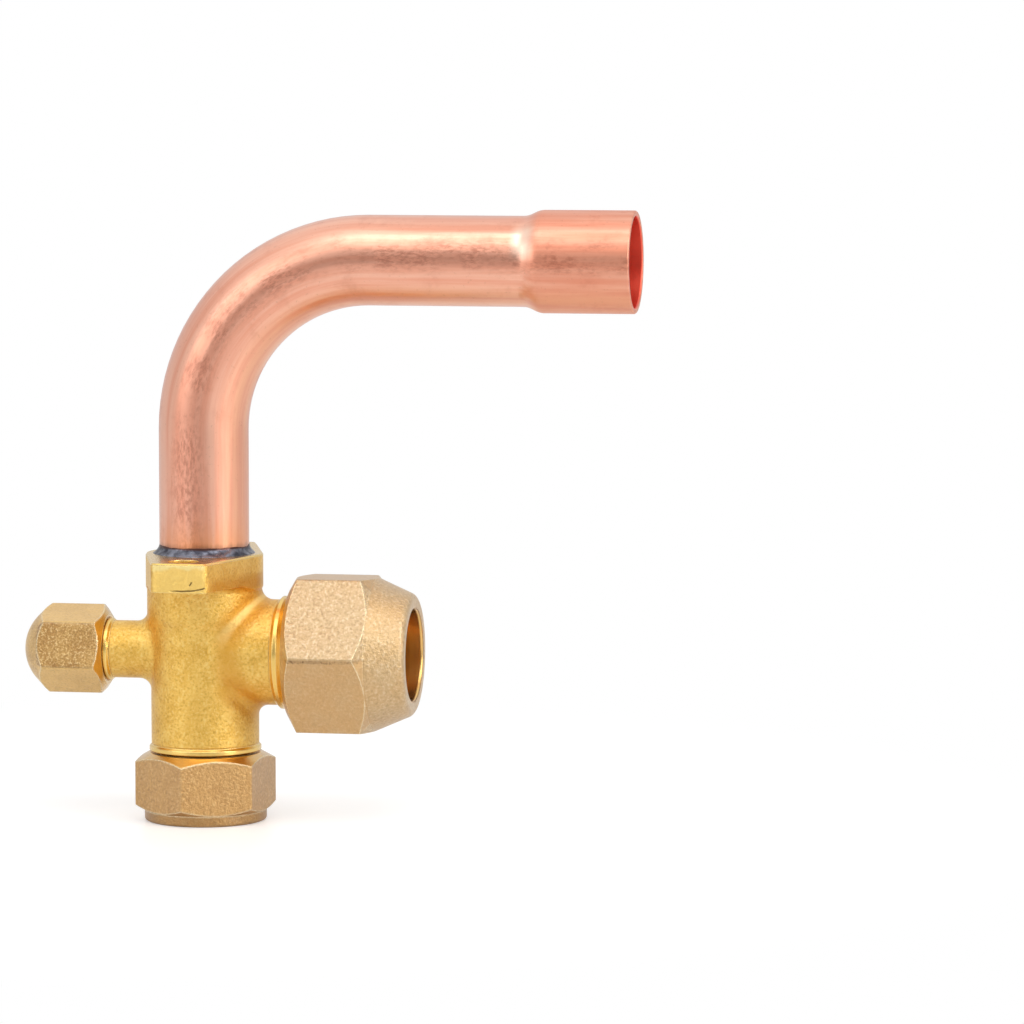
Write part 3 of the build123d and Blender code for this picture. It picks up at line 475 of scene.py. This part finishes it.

# ---- nuts and caps -----------------------------------------------------------------------------------------
# Flare nut and both caps: forged brass hexagons with a coarse blasted grain, their turned edges worn bright and
# painted with a highlight.
# They are screwed on by hand and spanner. The caps' open ends are faced and chamfered on the lathe.

# name, grains in a millimetre, half the width across flats, first corner round the axis in degrees, strength of
# the grain, width of the worn edge and its painted highlight; then the skins of the two kinds of flat, painted shaded
# and lit, and the glint of a grain
for (name, grains, flat_r, first_corner, contrast, edge_width), (dark, light, glint) in (
    (
        ("flare_nut", 2.0, 13.5, 147.5, 0.42, 0.30),
        ((0.67, 0.415, 0.172, 1), (0.66, 0.460, 0.235, 1), (1.0, 0.86, 0.60, 1)),
    ),
    (
        ("stem_cap", 2.0, 11.0, 53.0, 0.40, 0.48),
        ((0.56, 0.305, 0.098, 1), (0.65, 0.375, 0.130, 1), (0.98, 0.74, 0.38, 1)),
    ),
    (
        ("service_cap", 2.7, 7.0, 109.5, 0.60, 0.45),
        ((0.47, 0.250, 0.066, 1), (0.85, 0.555, 0.195, 1), (1.0, 0.78, 0.40, 1)),
    ),
):
    nut_brass, tree, shader = shader_tree(name + "_brass", 0.42, Coat_Weight=0.8, Coat_Roughness=0.32, Coat_IOR=1.6)
    at = use(tree, millimetres)
    grain = use(tree, blasted, Position=at["Position"], Grains=grains, Lumps=0.22)
    edges = use(tree, edge_wear_and_highlight, Position=at["Position"], Width=edge_width * mm, Break_up=1.2)
    facing = add(tree, "ShaderNodeSeparateXYZ", [(0, add(tree, "ShaderNodeTexCoord").outputs["Normal"])]).outputs
    if name == "stem_cap":
        radius, along = across(tree, at["X"], at["Y"]), at["Z"]
        around = maths(tree, "ARCTAN2", at["X"], at["Y"])
        bore = times(tree, ramp(tree, radius, 8.75, 8.65), ramp(tree, along, 2.2, 2.3))
        open_end = times(tree, ramp(tree, facing["Z"], 0.25, 0.45), ramp(tree, along, 8.0, 9.0))
        on_flat = 0.0
    else:
        port_z = maths(tree, "SUBTRACT", at["Z"], port_height)
        radius, along = across(tree, port_z, at["Y"]), at["X"]
        around = maths(tree, "ARCTAN2", at["Y"], port_z)
        on_flat = ramp(tree, radius, flat_r - 0.15, flat_r - 0.03)
    if name == "flare_nut":
        bore = times(tree, ramp(tree, radius, 11.2, 11.1), ramp(tree, along, 31.7, 31.6))
        open_end = ramp(tree, radius, 8.45, 8.25)
    if name == "service_cap":
        bore = times(tree, ramp(tree, radius, 6.0, 5.9), ramp(tree, along, -28.1, -28.0))
        open_end = times(tree, ramp(tree, facing["X"], 0.25, 0.45), ramp(tree, along, -20.0, -19.5))
    bright = highest(tree, bore, open_end)
    # painted light: every second flat is painted paler, as lit, and the others darker, as shaded; the paler ones are
    # rougher too, but smoother on the small cap
    flat = maths(tree, "DIVIDE", maths(tree, "ADD", around, math.radians(first_corner)), math.pi / 3)
    second = ramp(tree, maths(tree, "SINE", times(tree, flat, math.pi)), 0.10, -0.10)
    second = mixed(tree, on_flat, 0.6, second)
    tone = maths(tree, "ADD", second, times(tree, grain["Mottle"], 0.5))
    skin = blend(tree, ramp(tree, tone, 0.0, 1.4), dark, light)
    rough_flat = maths(tree, "SUBTRACT", 1.0, second) if name == "service_cap" else second
    strength = times(tree, ramp(tree, rough_flat, 0.0, 1.0, 0.35, 1.0), contrast)
    skin = blend(tree, times(tree, grain["Dimple"], strength), skin, (0.30, 0.15, 0.04, 1))
    skin = blend(tree, times(tree, grain["Sparkle"], strength), skin, glint)
    if name == "flare_nut":
        # a dark broken line is painted just under each second corner
        under = maths(tree, "FRACT", flat)
        under_corner_line = times(tree, ramp(tree, under, 0.945, 0.965), ramp(tree, under, 0.996, 0.985))
        outer = times(tree, ramp(tree, radius, 13.6, 14.6), ramp(tree, second, 0.6, 0.4))
        under_corner_line = times(tree, under_corner_line, outer)
        broken = maths(tree, "ADD", grain["Dimple"], times(tree, grain["Mottle"], 0.45), clamp=True)
        skin = blend(tree, times(tree, under_corner_line, broken), skin, (0.24, 0.13, 0.04, 1))
    if name == "stem_cap":
        # painted shade: the round foot that the valve stands on, under the hex, is painted darker
        foot_shade = times(tree, ramp(tree, radius, 10.95, 10.85), ramp(tree, along, 2.25, 2.15))
        skin = blend(tree, times(tree, foot_shade, 0.55), skin, (0.36, 0.19, 0.055, 1))
    rings = use(tree, turned, Along=along, Across=radius, Rings=5.0)["Height"]
    skin = blend(tree, bright, skin, blend(tree, rings, (0.66, 0.36, 0.08, 1), (0.95, 0.62, 0.20, 1)))
    # painted highlight: the worn edges are painted pale, as if catching the light
    skin = blend(tree, times(tree, edges["Edge"], 0.95), skin, (1.0, 0.86, 0.56, 1))
    roughness = ramp(tree, highest(tree, edges["Edge"], bright), 0.0, 1.0, 0.45, 0.24)
    relief = times(tree, grain["Height"], ramp(tree, rough_flat, 0.0, 1.0, 0.6, 1.0))
    relief = mixed(tree, bright, relief, times(tree, rings, 0.1))
    surface(tree, shader, skin, roughness, relief, 1.0, 0.3 * mm, edges["Rounded"])
    dress(nut_brass, name)

# ---- stem and core -----------------------------------------------------------------------------------------
# Spindle and core fittings, turned from brass bar: bright, with fine rings, and dull where the tool ran out.
# The spindle is screwed into the neck, and the core into the service port.

turned_brass, tree, shader = shader_tree("turned_brass", 0.24)
at = use(tree, millimetres)
stem_r = across(tree, at["X"], at["Y"])
rings = use(tree, turned, Along=at["Z"], Across=stem_r, Rings=11.0)["Height"]
edges = use(tree, edge_wear_and_highlight, Position=at["Position"], Width=0.15 * mm, Break_up=3.0)
dulled = cloud(tree, at["Position"], 0.5, 3.0)
skin = blend(tree, ramp(tree, dulled, 0.35, 0.7), (0.82, 0.55, 0.17, 1), (0.92, 0.66, 0.25, 1))
# painted highlight on the worn edges
skin = blend(tree, times(tree, edges["Edge"], 0.6), skin, (1.0, 0.82, 0.42, 1))
roughness = ramp(tree, dulled, 0.3, 0.75, 0.30, 0.20)
surface(tree, shader, skin, roughness, rings, 0.35, 0.04 * mm, edges["Rounded"])
dress(turned_brass, "valve_stem", "core_plug", "core_barrel", "core_poppet")

# ---- springs -----------------------------------------------------------------------------------------------
# Snap ring stamped from blued spring steel and sprung into the neck's groove, and the core's pin with its coiled
# wire. Oily, with a drawn grain.

spring_steel, tree, shader = shader_tree("spring_steel", 0.30)
at = use(tree, millimetres)
worn = cloud(tree, at["Position"], 0.9, 4.0)
edges = use(tree, edge_wear_and_highlight, Position=at["Position"], Width=0.12 * mm, Break_up=4.0)
skin = blend(tree, ramp(tree, worn, 0.35, 0.7), (0.16, 0.16, 0.17, 1), (0.27, 0.26, 0.26, 1))
# painted highlight on the worn edges
skin = blend(tree, times(tree, edges["Edge"], 0.7), skin, (0.55, 0.54, 0.53, 1))
roughness = ramp(tree, worn, 0.3, 0.75, 0.38, 0.24)
surface(tree, shader, skin, roughness, worn, 0.3, 0.04 * mm, edges["Rounded"])
dress(spring_steel, "stem_retaining_ring", "core_spring", "core_pin")

# the core's wire as an object of its own, with a copy of the core spring's mesh, which is hidden
coiled_wire = bpy.data.objects.new("coiled_wire", nodes["core_spring"].data.copy())
bpy.context.scene.collection.objects.link(coiled_wire)
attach(coiled_wire, "valve")
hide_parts("core_spring")
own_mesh(coiled_wire)

# ---- seals -------------------------------------------------------------------------------------------------
# O-rings, the service cap's washer and the core's seat are moulded black rubber, with a pale bloom. The other two
# gaskets are pressed PTFE.

seal_rubber, tree, shader = shader_tree("seal_rubber", 0.5, 0.0)
at = use(tree, millimetres)
bloom = cloud(tree, at["Position"], 1.2, 5.0)
skin = blend(tree, ramp(tree, bloom, 0.4, 0.75), (0.014, 0.014, 0.015, 1), (0.040, 0.039, 0.037, 1))
surface(tree, shader, skin, ramp(tree, bloom, 0.3, 0.75, 0.38, 0.60), bloom, 0.3, 0.05 * mm)
dress(seal_rubber, "stem_o_ring_lower", "stem_o_ring_upper", "service_cap_gasket", "core_seal")

ptfe, tree, shader = shader_tree("ptfe", 0.45, 0.0, Subsurface_Weight=0.1)
at = use(tree, millimetres)
pressed = cloud(tree, at["Position"], 0.8, 4.0)
skin = blend(tree, ramp(tree, pressed, 0.35, 0.7), (0.70, 0.67, 0.58, 1), (0.80, 0.78, 0.71, 1))
surface(tree, shader, skin, ramp(tree, pressed, 0.3, 0.75, 0.40, 0.55), pressed, 0.25, 0.05 * mm)
dress(ptfe, "stem_cap_gasket", "core_barrel_gasket")

# ---- floor, lamps and camera -------------------------------------------------------------------------------
# White sweep with a large soft lamp to the right, a weaker one to the left and one overhead. To shiny metal the
# room behind the camera is darker than the sweep, and the ceiling is white.

half, drop = 3.0, 0.02 * mm
floor_mesh = bpy.data.meshes.new("floor")
floor_mesh.from_pydata([(-half, -half, 0), (half, -half, 0), (half, half, 0), (-half, half, 0)], [], [(0, 1, 2, 3)])
floor = bpy.data.objects.new("floor", floor_mesh)
bpy.context.scene.collection.objects.link(floor)
floor.location.z = -drop
white_floor, tree, shader = shader_tree("white_floor", 0.35, 0.0)
shader.inputs["Base Color"].default_value = (0.86, 0.86, 0.86, 1)
path = add(tree, "ShaderNodeLightPath").outputs
seen = maths(tree, "ADD", times(tree, path["Is Camera Ray"], 0.34), times(tree, path["Is Glossy Ray"], 0.02))
glow = add(tree, "ShaderNodeEmission", [("Color", (1, 1, 1, 1)), ("Strength", seen)])
both = add(tree, "ShaderNodeAddShader", [(0, shader.outputs[0]), (1, glow.outputs[0])])
# the sweep runs out to plain white a hand's breadth from the valve
spot = add(tree, "ShaderNodeTexCoord").outputs["Object"]
span = add(tree, "ShaderNodeVectorMath", [(0, spot)], operation="LENGTH").outputs["Value"]
white = add(tree, "ShaderNodeEmission", [("Color", (1, 1, 1, 1)), ("Strength", 1.0)])
away = times(tree, ramp(tree, span, 0.05, 0.16), path["Is Camera Ray"])
swept = add(tree, "ShaderNodeMixShader", [(0, away), (1, both.outputs[0]), (2, white.outputs[0])])
tree.links.new(swept.outputs[0], tree.nodes["Material Output"].inputs["Surface"])
floor_mesh.materials.append(white_floor)

world = bpy.data.worlds.new("studio")
bpy.context.scene.world = world
world.use_nodes = True
tree = world.node_tree
light = tree.nodes["Background"]
light.inputs["Color"].default_value = (1, 1, 1, 1)
direction = add(tree, "ShaderNodeTexCoord").outputs["Generated"]
pairs = [(0, direction), (1, (0.17, -0.98, 0.0))]
front = add(tree, "ShaderNodeVectorMath", pairs, operation="DOT_PRODUCT").outputs["Value"]
height = add(tree, "ShaderNodeSeparateXYZ", [(0, direction)]).outputs["Z"]
room = maths(tree, "ADD", ramp(tree, front, 0.74, 0.99, 0.72, 0.32), ramp(tree, height, 0.25, 0.9, 0.0, 0.25))
path = add(tree, "ShaderNodeLightPath").outputs
shiny = highest(tree, path["Is Glossy Ray"], path["Is Transmission Ray"])
level = mixed(tree, path["Is Camera Ray"], mixed(tree, shiny, 0.65, room), 1.0)
tree.links.new(level, light.inputs["Strength"])

lamps_aim, lamps_distance = Vector((0.02, 0, 0.05)), 0.9
# name, degrees round from the front, degrees up, width, length, watts
for name, azimuth, elevation, width, length, power in (
    ("right_softbox", 68, 24, 0.36, 0.60, 2.9),
    ("left_softbox", -46, 22, 0.50, 0.60, 1.1),
    ("top_softbox", 8, 60, 0.80, 0.56, 2.1),
):
    lamp = bpy.data.lights.new(name, "AREA")
    lamp.shape, lamp.size, lamp.size_y, lamp.energy = "RECTANGLE", width, length, power
    stand = bpy.data.objects.new(name, lamp)
    turn, lift = math.radians(azimuth), math.radians(elevation)
    away = Vector((math.sin(turn) * math.cos(lift), -math.cos(turn) * math.cos(lift), math.sin(lift)))
    stand.location = lamps_aim + away * lamps_distance
    stand.rotation_euler = (-away).to_track_quat("-Z", "Y").to_euler()
    bpy.context.scene.collection.objects.link(stand)

lens = bpy.data.cameras.new("camera")
lens.lens, lens.sensor_width = 182.8, 36.0
camera = bpy.data.objects.new("camera", lens)
camera.location = (0.21265, -0.8924, 0.14296)
camera.rotation_euler = (math.radians(84.5), 0, math.radians(10))
bpy.context.scene.collection.objects.link(camera)
bpy.context.scene.camera = camera
bpy.context.scene.view_settings.view_transform = "Standard"
